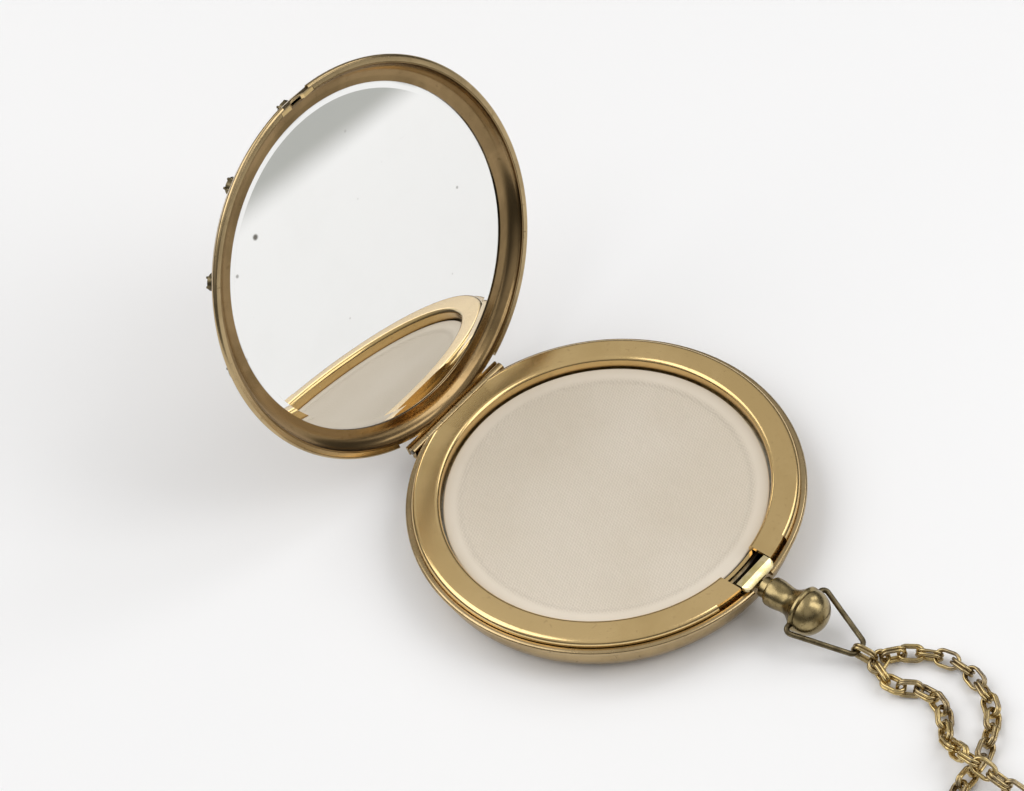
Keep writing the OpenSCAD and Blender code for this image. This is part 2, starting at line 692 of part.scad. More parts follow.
// The riveted end of the stem behind the latch plate
module stem_rivet() {
    color(brass) along_crown() translate([0, 0, latch_back - rivet_t])
        cylinder(r = rivet_r, h = rivet_t, $fn = small_fn);
}

function unit(v) = v / norm(v);

// Points of a flat path in XY whose inner corners are rounded to the given radii
function rounded(path, bends, steps) = let (last = len(path) - 1) concat([path[0]],
    [for (i = [1 : last - 1]) let (
        d = unit(path[i] - path[i - 1]), e = unit(path[i + 1] - path[i]),
        turn = atan2(d[0] * e[1] - d[1] * e[0], d * e), r = bends[i - 1],
        side = [-d[1], d[0]] * sign(turn), centre = path[i] - d * r * tan(abs(turn) / 2) + side * r)
        for (j = [0 : steps]) let (t = turn * j / steps)
            centre - [side[0] * cos(t) - side[1] * sin(t), side[0] * sin(t) + side[1] * cos(t)] * r],
    [path[last]]);

// Direction of a path at one of its points
function path_dir(p, i) = unit(p[min(i + 1, len(p) - 1)] - p[max(i - 1, 0)]);

// A round wire along a flat path
module flat_wire(p, r, sides) {
    points = [for (i = [0 : len(p) - 1]) let (d = path_dir(p, i)) for (j = [0 : sides - 1])
        let (b = 360 * j / sides) [p[i][0] - d[1] * r * cos(b), p[i][1] + d[0] * r * cos(b), -r * sin(b)]];
    polyhedron(points, tube_faces(len(p) - 1, sides));
}

// The bail: a wire loop whose ends turn into the head, drooping to the table
module bail() {
    path = rounded([[-bail_pin - bail_tip, 0], [-bail_w / 2, 0], [bail_lean - bail_bar / 2, -bail_l],
        [bail_lean + bail_bar / 2, -bail_l], [bail_w / 2, 0], [bail_pin + bail_tip, 0]],
        [bail_shoulder, bail_bend, bail_bend, bail_shoulder], bail_steps);
    color(aged) translate([0, -bail_y, crown_z]) rotate([bail_droop, 0, 0]) {
        flat_wire(path, bail_r, bail_sides);
        for (s = [-1, 1]) translate([s * bail_pin, 0, 0]) rotate([0, s * 90, 0])
            cylinder(r = bail_tip_r, h = 2 * bail_tip, $fn = small_fn);
    }
}

// One oval chain link along X
module link() {
    for (s = [-1, 1]) {
        translate([s * link_run / 2, 0, 0]) rotate([0, 0, -s * 90]) rotate_extrude(angle = 180)
            translate([link_bend, 0]) circle(d = link_wire, $fn = small_fn);
        translate([-link_run / 2, s * link_bend, 0]) rotate([0, 90, 0])
            cylinder(d = link_wire, h = link_run, $fn = small_fn);
    }
}

// Two links side by side, placed about a point along a direction and rolled about it
module link_pair(at, along, roll) {
    color(aged) translate(at)
        rotate([roll, -atan2(along[2], norm([along[0], along[1]])), atan2(along[1], along[0])])
            for (s = [-1, 1]) translate([0, 0, s * pair_gap / 2]) link();
}

// A point on a smooth curve through four points, between the middle two
function smooth(a, b, c, d, t) = (2 * b + (c - a) * t + (2 * a - 5 * b + 4 * c - d) * t * t
    + (3 * b - a - 3 * c + d) * t * t * t) / 2;
route_last = len(route) - 1;
function route_knot(i) = i < 0 ? 2 * route[0] - route[1]
    : i > route_last ? 2 * route[route_last] - route[route_last - 1] : route[i];
samples = concat([for (i = [0 : route_last - 1], j = [0 : route_steps - 1])
    smooth(route_knot(i - 1), route_knot(i), route_knot(i + 1), route_knot(i + 2), j / route_steps)],
    [route[route_last]]);
function run_lengths(i = 1, sum = 0) = i == len(samples) ? [sum]
    : concat([sum], run_lengths(i + 1, sum + norm(samples[i] - samples[i - 1])));
lengths = run_lengths();
route_length = lengths[len(lengths) - 1];
function table(axis) = [for (i = [0 : len(samples) - 1]) [lengths[i], samples[i][axis]]];
tables = [table(0), table(1), table(2)];
function on_route(s) = [lookup(s, tables[0]), lookup(s, tables[1]), lookup(s, tables[2])];

// An odd number of pairs, so that both ends meet the hitch on edge
pair_count = 2 * round((route_length / chain_pitch - 1) / 2) + 1;
pair_step = route_length / pair_count;
function pair_ease(k) = min(1, min(k, pair_count - 1 - k) / easing_pairs);
function pair_roll(k) = hook_turn * (k + 1) + pair_ease(k) * (lie_turn + wave_turn * sin(wave_step * k));

// The pairs of links of one strand
module pairs(strand) {
    first = round(strand_shares[strand] * pair_count);
    last = round(strand_shares[strand + 1] * pair_count) - 1;
    for (k = [first : last]) {
        a = on_route(k * pair_step);
        b = on_route((k + 1) * pair_step);
        link_pair((a + b) / 2, b - a, pair_roll(k));
    }
}

// The hitch: a pair on edge over the bail's end, and a flat pair across it that joins the chain's ends
module chain_hitch() {
    pull = unit(hitch_pull);
    bar = [bail_lean - hitch_side, -bail_y - bail_l * cos(bail_droop), crown_z - bail_l * sin(bail_droop)];
    hook = bar + pull * (link_l / 2 - link_wire - bail_r - slack);
    across = hook + pull * (link_l / 2 - link_wire - link_wire / 2 - slack + link_bend);
    link_pair(hook, pull, hook_turn);
    link_pair(across, [1, -pull[0] / pull[1], 0], atan2(-pull[2], -pull[1]));
}

module chain_far_strand() {
    pairs(0);
}

module chain_lower_strand() {
    pairs(1);
}

module chain_loop() {
    pairs(2);
}

module chain_crossing() {
    pairs(3);
}

module chain_near_strand() {
    pairs(4);
}

base_case();
inner_ring();
powder_pan();
powder_fill();
sifter_hoop();
sifter_cloth();
base_hinge_leaf();
hinge_pin();
stem_guide();
return_spring();
lid_shell();
mirror_bezel();
mirror_glass();
mirror_backing();
lid_hinge_leaf();
lid_catch();
hour_settings();
hour_stones();
crown_body();
crown_dome();
crown_stem();
latch_plate();
stem_rivet();
bail();
chain_hitch();
chain_far_strand();
chain_lower_strand();
chain_loop();
chain_crossing();
chain_near_strand();
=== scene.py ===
"""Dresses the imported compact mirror: a round brass case with a cloth sifter, a lid with a bevelled mirror,
a push crown, and a double-link chain on its bail.

Sizes are in millimetres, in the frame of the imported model."""

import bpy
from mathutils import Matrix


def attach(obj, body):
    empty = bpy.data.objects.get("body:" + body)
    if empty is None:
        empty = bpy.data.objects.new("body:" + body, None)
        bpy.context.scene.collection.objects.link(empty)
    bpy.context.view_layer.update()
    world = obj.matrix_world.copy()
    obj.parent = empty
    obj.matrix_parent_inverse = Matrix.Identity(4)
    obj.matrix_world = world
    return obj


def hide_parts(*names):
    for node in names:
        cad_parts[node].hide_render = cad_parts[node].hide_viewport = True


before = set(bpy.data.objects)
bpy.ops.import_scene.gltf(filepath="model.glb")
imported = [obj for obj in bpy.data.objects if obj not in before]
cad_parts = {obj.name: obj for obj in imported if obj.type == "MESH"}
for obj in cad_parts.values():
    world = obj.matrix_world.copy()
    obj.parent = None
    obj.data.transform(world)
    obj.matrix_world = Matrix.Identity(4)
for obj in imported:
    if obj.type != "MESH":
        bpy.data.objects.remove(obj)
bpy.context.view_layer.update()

import logging
import math
from collections.abc import Callable, Sequence
from dataclasses import dataclass
from enum import Enum
from typing import Any, ClassVar

import bmesh
import bpy
from mathutils import Matrix, Vector

LOG = logging.getLogger("compact_mirror")
MM = 0.001
SHARP = 28.0  # the angle in degrees past which an edge of a turned piece stays sharp
SKIN_SHARP = 32.0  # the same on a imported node
CLAW_SHARP = 30.0  # on a setting
FACET_SHARP = 1.0  # on cut glass and stones
SPARE = 1.0  # how far a cutter reaches past what it cuts, in millimetres
Point = tuple[float, float]
Triple = tuple[float, float, float]
Colour = Triple


def tone(red: int, green: int, blue: int) -> Colour:
    """Turns a colour given as it looks on a screen into the linear values that a shader takes.

    Args:
        red: Red from 0 to 255.
        green: Green from 0 to 255.
        blue: Blue from 0 to 255.

    Returns:
        The linear colour.
    """
    def linear(value: int) -> float:
        """Undo the screen's curve on one channel."""
        share = value / 255
        return share / 12.92 if share <= 0.04045 else ((share + 0.055) / 1.055) ** 2.4

    return linear(red), linear(green), linear(blue)


class Body(Enum):
    """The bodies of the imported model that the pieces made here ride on."""

    BASE = "base"
    SIFTER = "sifter"
    LID = "lid"


@dataclass
class Sizes:
    """The sizes that the assemblies share, as in the part's source."""

    case_r: float = 32.5
    wall_r: float = 31.4
    bore_r: float = 30.8
    foot_round: float = 4.4
    case_wall: float = 0.6
    case_h: float = 8.5
    ledge_z: float = 6.6
    bead_z: float = 6.76
    bead_t: float = 0.9
    bead_root: float = 0.2
    ring_r: float = 31.45
    ring_bore: float = 26.75
    ring_edge: float = 0.9
    ring_lip: float = 0.8
    ring_sheet: float = 0.6
    skirt_r: float = 30.75
    seat_z: float = 5.5
    hinge_y: float = 32.0
    hinge_z: float = 6.0
    lid_angle: float = 109.5
    crown_z: float = 6.1
    lid_r: float = 33.07
    rim_z: float = 7.27
    rim_t: float = 0.98
    rim_in: float = 31.95
    shoulder_w: float = 5.2
    shoulder_h: float = 3.6
    mirror_z: float = 9.45
    mirror_r: float = 29.1

    @property
    def rim_top(self) -> float:
        """Height of the lid's rim, closed."""
        return self.rim_z + self.rim_t

    @property
    def shoulder_c(self) -> float:
        """Radius of the middle of the shoulder's arc."""
        return self.rim_in + 0.25 - self.shoulder_w

    def opened(self) -> Matrix:
        """The turn that opens the lid about its hinge."""
        pin = Matrix.Translation((0, self.hinge_y * MM, self.hinge_z * MM))
        return pin @ Matrix.Rotation(-math.radians(self.lid_angle), 4, "X") @ pin.inverted()


class Wire:
    """A shader socket on which sums can be written as plain expressions."""

    def __init__(self, shader: "ShaderTree", socket: bpy.types.NodeSocket) -> None:
        """Wrap an output socket of the shader's tree."""
        self.shader = shader
        self.socket = socket

    def _sum(self, operation: str, *values: Any) -> "Wire":
        """Add a Math node.

        Args:
            operation: The Math node's operation.
            values: The values or wires of its sockets, in order.

        Returns:
            The node's result.
        """
        return self.shader.node("Math", {"operation": operation}, dict(enumerate(values)))

    def __add__(self, other: Any) -> "Wire":
        """Sum."""
        return self._sum("ADD", self, other)

    def __radd__(self, other: Any) -> "Wire":
        """Sum, with the wire second."""
        return self._sum("ADD", other, self)

    def __sub__(self, other: Any) -> "Wire":
        """Difference."""
        return self._sum("SUBTRACT", self, other)

    def __rsub__(self, other: Any) -> "Wire":
        """Difference, with the wire second."""
        return self._sum("SUBTRACT", other, self)

    def __mul__(self, other: Any) -> "Wire":
        """Product."""
        return self._sum("MULTIPLY", self, other)

    def __rmul__(self, other: Any) -> "Wire":
        """Product, with the wire second."""
        return self._sum("MULTIPLY", other, self)

    def __pow__(self, other: Any) -> "Wire":
        """Power."""
        return self._sum("POWER", self, other)

    def __neg__(self) -> "Wire":
        """The value with its sign turned."""
        return self._sum("MULTIPLY", self, -1.0)

    def wave(self) -> "Wire":
        """The sine of the value."""
        return self._sum("SINE", self)

    def root(self) -> "Wire":
        """The square root of the value."""
        return self._sum("SQRT", self)

    def least(self, other: Any) -> "Wire":
        """The lesser of two values."""
        return self._sum("MINIMUM", self, other)

    def most(self, other: Any) -> "Wire":
        """The greater of two values."""
        return self._sum("MAXIMUM", self, other)

    def ramp(self, low: float, high: float) -> "Wire":
        """Rises smoothly from 0 at one value to 1 at another, or falls where low is the higher of them.

        Args:
            low: The value at which the result is 0.
            high: The value at which the result is 1.

        Returns:
            The eased share.
        """
        rises = float(low < high)
        ends = {1: min(low, high), 2: max(low, high), 3: 1.0 - rises, 4: rises}
        settings = {"interpolation_type": "SMOOTHSTEP", "clamp": True}
        return self.shader.node("MapRange", settings, {0: self, **ends})


class NodeTree:
    """A node tree to which nodes are added one call each."""

    def __init__(self, tree: bpy.types.NodeTree) -> None:
        """Keep the tree."""
        self.tree = tree

    def add(self, kind: str, settings: dict[str, Any], inputs: dict[Any, Any]) -> bpy.types.Node:
        """Adds one node.

        Args:
            kind: The node's type.
            settings: Its settings, set before its sockets.
            inputs: Values, sockets or wires by the input's name or number.

        Returns:
            The node.
        """
        made = self.tree.nodes.new(kind)
        for key, value in settings.items():
            setattr(made, key, value)
        for key, value in inputs.items():
            if isinstance(value, Wire):
                value = value.socket
            if isinstance(value, bpy.types.NodeSocket):
                self.tree.links.new(value, made.inputs[key])
            else:
                made.inputs[key].default_value = value
        return made


class ShaderTree(NodeTree):
    """The node tree of a material or a world."""

    def __init__(self, owner: bpy.types.ID) -> None:
        """Empty the owner's tree."""
        owner.use_nodes = True
        super().__init__(owner.node_tree)
        self.tree.nodes.clear()

    def node(self, kind: str, settings: dict[str, Any], inputs: dict[Any, Any], out: int | str = 0) -> Wire:
        """Add one shader node and wrap the output that is wanted, by name or number."""
        return Wire(self, self.add("ShaderNode" + kind, settings, inputs).outputs[out])

    def parts(self, vector: Wire) -> list[Wire]:
        """Split a vector into its three numbers."""
        return [Wire(self, output) for output in self.add("ShaderNodeSeparateXYZ", {}, {0: vector}).outputs]


class Shader(ShaderTree):
    """One material's node tree with a Principled shader at its end."""

    def __init__(self, name: str) -> None:
        """Start a material of this name."""
        self.material = bpy.data.materials.new(name)
        super().__init__(self.material)
        self.surface = self.add("ShaderNodeBsdfPrincipled", {}, {})
        self.add("ShaderNodeOutputMaterial", {}, {"Surface": self.surface.outputs["BSDF"]})

    def place(self, turn: Sequence[float] = (0, 0, 0), scale: Sequence[float] = (1, 1, 1)) -> Wire:
        """The surface's place in millimetres, turned and scaled by a Mapping node.

        Args:
            turn: Angles in degrees.
            scale: Scale along each axis.

        Returns:
            The place as a vector.
        """
        where = self.node("TexCoord", {}, {}, "Object")
        angles = tuple(math.radians(angle) for angle in turn)
        scaled = tuple(value / MM for value in scale)
        return self.node("Mapping", {}, {"Vector": where, "Rotation": angles, "Scale": scaled})

    def cloud(self, vector: Wire, scale: float, detail: float = 2.0, rough: float = 0.55,
              warp: float = 0.0) -> Wire:
        """A soft noise from 0 to 1.

        Args:
            vector: The place that it follows, in millimetres.
            scale: Spots to a millimetre.
            detail: Number of finer layers.
            rough: Strength of the finer layers.
            warp: How far the noise is twisted.

        Returns:
            The noise.
        """
        return self.node("TexNoise", {"noise_dimensions": "3D"}, {
            "Vector": vector, "Scale": scale, "Detail": detail, "Roughness": rough, "Distortion": warp})

    def blend(self, share: Any, first: Any, second: Any) -> Wire:
        """Mix two colours by a share.

        Args:
            share: How much of the second colour shows.
            first: A colour or a wire.
            second: A colour or a wire.

        Returns:
            The mixed colour.
        """
        settings = {"data_type": "RGBA", "clamp_factor": True}
        four = [value if isinstance(value, Wire) else (*value, 1.0) for value in (first, second)]
        return self.node("Mix", settings, {0: share, 6: four[0], 7: four[1]}, 2)

    def bump(self, height: Wire, strength: float, depth: float, under: Wire | None = None) -> Wire:
        """A bumped normal.

        Args:
            height: The height from 0 to 1.
            strength: The bump's strength.
            depth: The height of 1, in millimetres.
            under: A bump that this one adds to.

        Returns:
            The normal.
        """
        inputs = {"Strength": strength, "Distance": depth * MM, "Height": height}
        if under is not None:
            inputs["Normal"] = under
        return self.node("Bump", {}, inputs)

    def finish(self, **sockets: Any) -> bpy.types.Material:
        """Sets the Principled shader's sockets, written with _ for a space.

        Args:
            sockets: Values, colours or wires by socket name.

        Returns:
            The finished material.
        """
        for name, value in sockets.items():
            socket = self.surface.inputs[name.replace("_", " ")]
            if isinstance(value, Wire):
                self.tree.links.new(value.socket, socket)
            elif isinstance(value, tuple) and len(value) == 3 and socket.type == "RGBA":
                socket.default_value = (*value, 1.0)
            else:
                socket.default_value = value
        return self.material


@dataclass(frozen=True)
class Brass:
    """Plated or raw brass: a warm metal with dull clouds, fine scratches and darker spots."""

    name: str
    slot: str
    bright: Colour
    dull: Colour
    spot: Colour
    polish: float  # roughness of the brightest places
    haze: float  # how much rougher the dull places are
    grain: float  # strength of the scratches
    cloud: float  # dull clouds to a millimetre
    spots: float  # strength of the dark spots
    slope: tuple[float, float] | None = None  # where the face leans further outward, and by how much

    def make(self) -> bpy.types.Material:
        """Build the material."""
        sh = Shader(self.name)
        where = sh.place()
        broad = sh.cloud(where, self.cloud, detail=4.0, rough=0.6, warp=0.4)
        fine = sh.cloud(where, 2.6, detail=5.0, rough=0.65)
        lines = sh.cloud(sh.place((12, 0, 33), (0.35, 9.0, 2.2)), 1.0, detail=3.0, rough=0.7)
        pits = sh.cloud(where, 1.3, rough=0.5, warp=0.6).ramp(0.62, 0.74)
        colour = sh.blend(broad.ramp(0.38, 0.66), self.bright, self.dull)
        colour = sh.blend(pits * self.spots, colour, self.spot)
        rough = self.polish + broad.ramp(0.35, 0.75) * self.haze + fine * (self.haze * 0.6)
        rough = rough + pits * (self.haze * 1.2)
        scratched = sh.bump(lines, 0.35 * self.grain, 0.02)
        normal = sh.bump(fine, 0.5 * self.grain, 0.03, scratched)
        if self.slope:
            start, lean = self.slope
            _, y, _ = sh.parts(where)
            normal = sh.bump((y - start).least(0.0) * lean, 1.0, 1.0, normal)
        return sh.finish(Base_Color=colour, Metallic=1.0, Roughness=rough, Normal=normal)


@dataclass(frozen=True)
class Gauze:
    """The sifter's cloth: fine off-white silk, woven on the diagonal, smooth where it wraps the hoop."""

    name: str = "sifter_gauze"
    slot: str = "cloth"
    light: Colour = tone(226, 216, 201)
    dusty: Colour = tone(219, 208, 191)
    shade: Colour = tone(176, 162, 142)
    pitch: float = 0.52
    bias: float = 38.0
    weft_share: float = 0.55
    border_r: float = 24.2

    def make(self) -> bpy.types.Material:
        """Build the material."""
        sh = Shader(self.name)
        where = sh.place()
        x, y, _ = sh.parts(where)
        inside = (x * x + y * y).root().ramp(self.border_r + 0.5, self.border_r - 0.5)
        along, across, _ = sh.parts(sh.place((0, 0, self.bias)))
        wobble = sh.cloud(where, 0.35) * 0.8
        threads = math.tau / self.pitch
        warp = ((along + wobble) * threads).wave()
        weft = ((across + wobble * 0.7) * (threads * self.weft_share)).wave()
        weave = (warp * weft * 0.5 + 0.5) * inside
        broad = sh.cloud(where, 0.05, rough=0.5)
        fuzz = sh.cloud(where, 4.0, detail=3.0, rough=0.7)
        colour = sh.blend(broad.ramp(0.3, 0.75), self.light, self.dusty)
        colour = sh.blend(weave * 0.32 + fuzz * inside * 0.12, colour, self.shade)
        woven = sh.bump(weave, 0.9, 0.08)
        normal = sh.bump(fuzz * inside, 0.3, 0.05, woven)
        return sh.finish(Base_Color=colour, Roughness=0.75, Normal=normal, Sheen_Weight=0.1,
                         Sheen_Roughness=0.5, Specular_IOR_Level=0.3)


@dataclass(frozen=True)
class Silvering:
    """The mirror glass: a silvered face with a few dark specks, faint clouds of age and a worn edge."""

    name: str = "mirror_silver"
    slot: str = "mirror"
    silver: Colour = tone(243, 243, 241)
    faded: Colour = tone(206, 206, 200)
    lost: Colour = tone(92, 84, 72)
    lean_up: float = 0.017  # how far the glass sits askew
    bevel_r: float = 27.4
    bevel_turn: float = 0.11  # how far the bevel bends what it shows
    worn: Point = (28.6, 29.6)  # radii between which the silver is lost
    # Each speck's place across and down the open glass, its radius and its depth of colour
    specks: tuple[tuple[float, float, float, float], ...] = (
        (-16.7, -17.3, 0.42, 0.85), (20.9, 2.1, 0.22, 0.5), (-22.8, -14.2, 0.26, 0.55),
        (-28.7, -1.4, 0.5, 0.7), (6.6, -20.6, 0.2, 0.3), (-8.2, 6.4, 0.16, 0.25),
        (12.8, 14.0, 0.15, 0.2), (3.1, -9.5, 0.12, 0.25))

    def make(self) -> bpy.types.Material:
        """Build the material."""
        sh = Shader(self.name)
        where = sh.place()
        x, y, z = sh.parts(where)
        turn = math.radians(Sizes.lid_angle)
        pin_y, pin_z = Sizes.hinge_y, Sizes.hinge_z
        down = (y - pin_y) * math.cos(turn) - (z - pin_z) * math.sin(turn) + pin_y
        haze = sh.cloud(where, 0.08, detail=4.0, rough=0.6)
        dust = sh.cloud(where, 2.4, rough=0.5).ramp(0.75, 0.8)
        scratch = sh.cloud(sh.place((20, 0, 52), (0.25, 8.0, 8.0)), 1.0, detail=1.0, rough=0.4)
        scratch = scratch.ramp(0.78, 0.82)
        radius_here = (x * x + down * down).root()
        flaw = (radius_here + haze * 1.2).ramp(*self.worn) * 0.6
        for speck_x, speck_y, radius, depth in self.specks:
            far = ((x - speck_x) ** 2.0 + (down - speck_y) ** 2.0).root() + dust * 0.1
            flaw = flaw.most(far.ramp(radius * 1.7, radius * 0.5) * depth)
        age = haze.ramp(0.4, 0.8) * 0.08 + dust * 0.10 + scratch * 0.08
        colour = sh.blend(age, self.silver, self.faded)
        colour = sh.blend(flaw, colour, self.lost)
        height = (y * math.cos(turn) - z * math.sin(turn)) * self.lean_up
        height = height + (radius_here - self.bevel_r).most(0.0) * self.bevel_turn
        rough = dust * 0.15 + scratch * 0.1 + flaw * 0.3 + 0.01
        normal = sh.bump(height, 1.0, 1.0)
        return sh.finish(Base_Color=colour, Metallic=1.0, Roughness=rough, Normal=normal)


@dataclass(frozen=True)
class Paste:
    """Clear cut paste stones."""

    name: str = "paste_stone"
    slot: str = "stone"

    def make(self) -> bpy.types.Material:
        """Build the material."""
        sh = Shader(self.name)
        smear = sh.cloud(sh.place(), 1.5)
        colour = sh.blend(smear, tone(244, 246, 248), tone(214, 222, 226))
        return sh.finish(Base_Color=colour, Roughness=smear * 0.08 + 0.03, Coat_Weight=1.0,
                         Coat_Roughness=0.03, Specular_IOR_Level=0.9)


@dataclass(frozen=True)
class Plain:
    """A plain dull stuff with a little grain, for what is mostly hidden."""

    name: str
    slot: str
    light: Colour
    dark: Colour
    rough: float
    metal: float = 0.0
    scale: float = 1.0

    def make(self) -> bpy.types.Material:
        """Build the material."""
        sh = Shader(self.name)
        grain = sh.cloud(sh.place(), self.scale, detail=5.0, rough=0.65)
        colour = sh.blend(grain.ramp(0.3, 0.7), self.light, self.dark)
        return sh.finish(Base_Color=colour, Metallic=self.metal, Roughness=grain * 0.15 + self.rough,
                         Normal=sh.bump(grain, 0.4, 0.03))


class Finishes:
    """Every finish of the compact, made once."""

    def __init__(self) -> None:
        """Make the materials."""
        kinds = {
            "case": Brass("case_brass", "case_brass",
                          tone(186, 163, 123), tone(162, 141, 104), tone(104, 84, 57),
                          polish=0.17, haze=0.09, grain=0.4, cloud=0.1, spots=0.3),
            "ring": Brass("ring_brass", "ring_brass",
                          tone(228, 198, 142), tone(214, 184, 128), tone(150, 122, 78),
                          polish=0.14, haze=0.05, grain=0.2, cloud=0.05, spots=0.2),
            # painted shade: a darker copy of the ring's brass, standing in for the dark room that the
            # polished cove reflects
            "cove": Brass("cove_brass_painted_shade", "ring_brass",
                          tone(146, 122, 86), tone(124, 103, 71), tone(80, 62, 38),
                          polish=0.17, haze=0.05, grain=0.08, cloud=0.08, spots=0.2),
            # painted shade: a darker copy of the aged brass, for the stone settings and the bail
            "claw": Brass("claw_brass_painted_shade", "aged_brass",
                          tone(118, 106, 80), tone(88, 78, 58), tone(48, 40, 28),
                          polish=0.22, haze=0.1, grain=0.5, cloud=0.6, spots=0.5),
            "latch": Brass("latch_brass", "ring_brass",
                           tone(232, 214, 168), tone(206, 190, 128), tone(120, 104, 60),
                           polish=0.14, haze=0.08, grain=0.3, cloud=0.5, spots=0.25, slope=(-30.9, 0.6)),
            "aged": Brass("aged_brass", "aged_brass",
                          tone(166, 148, 107), tone(130, 115, 80), tone(80, 66, 43),
                          polish=0.19, haze=0.1, grain=0.6, cloud=0.35, spots=0.5),
            "chain": Brass("chain_brass", "aged_brass",
                           tone(204, 180, 124), tone(152, 136, 108), tone(88, 70, 48),
                           polish=0.15, haze=0.1, grain=0.7, cloud=0.22, spots=0.5),
            "gauze": Gauze(),
            "mirror": Silvering(),
            "stone": Paste(),
            "tin": Plain("pan_metal", "pan_metal", tone(176, 176, 172), tone(140, 140, 136), 0.35, 1.0),
            "powder": Plain("pressed_powder", "powder", tone(226, 200, 178), tone(214, 184, 160), 0.8),
            "steel": Plain("pin_steel", "pin_steel", tone(150, 150, 148), tone(100, 98, 94), 0.3, 1.0, 4.0),
            "card": Plain("backing_card", "card", tone(150, 130, 104), tone(128, 110, 88), 0.85),
        }
        self.slots = {key: kind.slot for key, kind in kinds.items()}
        self.made = {key: kind.make() for key, kind in kinds.items()}

    def dress(self, piece: bpy.types.Object, key: str) -> None:
        """Give a piece the finish of this name in place of what it has."""
        piece.data.materials.clear()
        piece.data.materials.append(self.made[key])

    def seat(self, piece: bpy.types.Object, node: str, key: str, body: Body) -> None:
        """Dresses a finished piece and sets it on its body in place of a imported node.

        Args:
            piece: The piece.
            node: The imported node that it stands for.
            key: The finish's name here.
            body: The body that carries it.
        """
        self.dress(piece, key)
        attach(piece, body.value)
        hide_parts(node)
        LOG.info("%s stands for %s", piece.name, node)


def arc(centre: Point, width: float, height: float, start: float, end: float, steps: int) -> list[Point]:
    """Points on an arc of an ellipse.

    Args:
        centre: The ellipse's middle.
        width: Its half width.
        height: Its half height.
        start: Angle of the first point, in degrees.
        end: Angle of the last point, in degrees.
        steps: Number of steps between them.

    Returns:
        The points, in order.
    """
    angles = (math.radians(start + (end - start) * i / steps) for i in range(steps + 1))
    return [(centre[0] + width * math.cos(a), centre[1] + height * math.sin(a)) for a in angles]


def turned(name: str, outline: Sequence[Point], segments: int = 360, closed: bool = True,
           variant: Callable[[float], Sequence[Point]] | None = None,
           breaks: Sequence[float] = ()) -> bpy.types.Object:
    """Turns an outline about the case's axis.

    Args:
        name: The piece's name.
        outline: Radius and height of each point.
        segments: Steps round the axis.
        closed: Whether the outline runs round to its first point, or starts and ends on the axis.
        variant: Gives another outline of as many points at an angle, where the section changes.
        breaks: Angles at which the section changes, in degrees.

    Returns:
        The piece.
    """
    stations = [(a, variant(a) if variant else outline) for a in (360 * i / segments for i in range(segments))
                if all(abs(a - b) > 0.1 for b in breaks)]
    for b in breaks:  # two sections stand at each break, a hair apart
        stations += [(b - 0.001, variant(b - 0.01)), (b + 0.001, variant(b + 0.01))]
    stations.sort(key=lambda station: station[0])
    work = bmesh.new()
    rings = []
    for angle, section in stations:
        x, y = MM * math.cos(math.radians(angle)), MM * math.sin(math.radians(angle))
        rings.append([work.verts.new((r * x, r * y, z * MM)) for r, z in section])
    count = len(outline)
    for i, ring in enumerate(rings):
        following = rings[(i + 1) % len(rings)]
        for j in range(count if closed else count - 1):
            k = (j + 1) % count
            work.faces.new((ring[j], following[j], following[k], ring[k]))
    bmesh.ops.remove_doubles(work, verts=work.verts, dist=1e-7)
    bmesh.ops.dissolve_degenerate(work, edges=work.edges, dist=1e-7)
    bmesh.ops.recalc_face_normals(work, faces=work.faces)
    return as_piece(name, work)


def shade(mesh: bpy.types.Mesh, sharp: float = SHARP) -> None:
    """Shade a mesh smooth but for the edges that turn by more than an angle in degrees."""
    mesh.shade_smooth()
    mesh.set_sharp_from_angle(angle=math.radians(sharp))


def linked(name: str, data: bpy.types.ID) -> bpy.types.Object:
    """Make an object of a mesh, a lamp or a camera, and link it to the scene."""
    made = bpy.data.objects.new(name, data)
    bpy.context.scene.collection.objects.link(made)
    return made


def as_piece(name: str, work: bmesh.types.BMesh) -> bpy.types.Object:
    """Make a shaded object from mesh work, which is freed."""
    mesh = bpy.data.meshes.new(name)
    work.to_mesh(mesh)
    work.free()
    shade(mesh)
    return linked(name, mesh)


def block(low: Sequence[float], high: Sequence[float]) -> bpy.types.Object:
    """A box to cut with, given by its corners in millimetres."""
    work = bmesh.new()
    size = [(b - a) * MM for a, b in zip(low, high)]
    middle = [(b + a) / 2 * MM for a, b in zip(low, high)]
    bmesh.ops.create_cube(work, size=1.0, matrix=Matrix.Translation(middle) @ Matrix.Diagonal((*size, 1)))
    return as_piece("cutter", work)


def drill(radius: float, height: float, start: float, length: float) -> bpy.types.Object:
    """A cylinder to cut with, along the crown's axis.

    Args:
        radius: Its radius.
        height: Height of its axis above the table.
        start: Distance of its near end in front of the case's middle.
        length: Its length.

    Returns:
        The cutter.
    """
    work = bmesh.new()
    middle = Matrix.Translation((0, -(start + length / 2) * MM, height * MM))
    bmesh.ops.create_cone(work, cap_ends=True, segments=96, radius1=radius * MM, radius2=radius * MM,
                          depth=length * MM, matrix=middle @ Matrix.Rotation(math.pi / 2, 4, "X"))
    return as_piece("cutter", work)


def plain_mesh(piece: bpy.types.Object) -> None:
    """Replace a piece's mesh by what its modifiers make of it, and remove them."""
    bpy.context.view_layer.update()
    made = bpy.data.meshes.new_from_object(piece.evaluated_get(bpy.context.evaluated_depsgraph_get()))
    old = piece.data
    piece.modifiers.clear()
    piece.data = made
    made.name = piece.name
    bpy.data.meshes.remove(old)


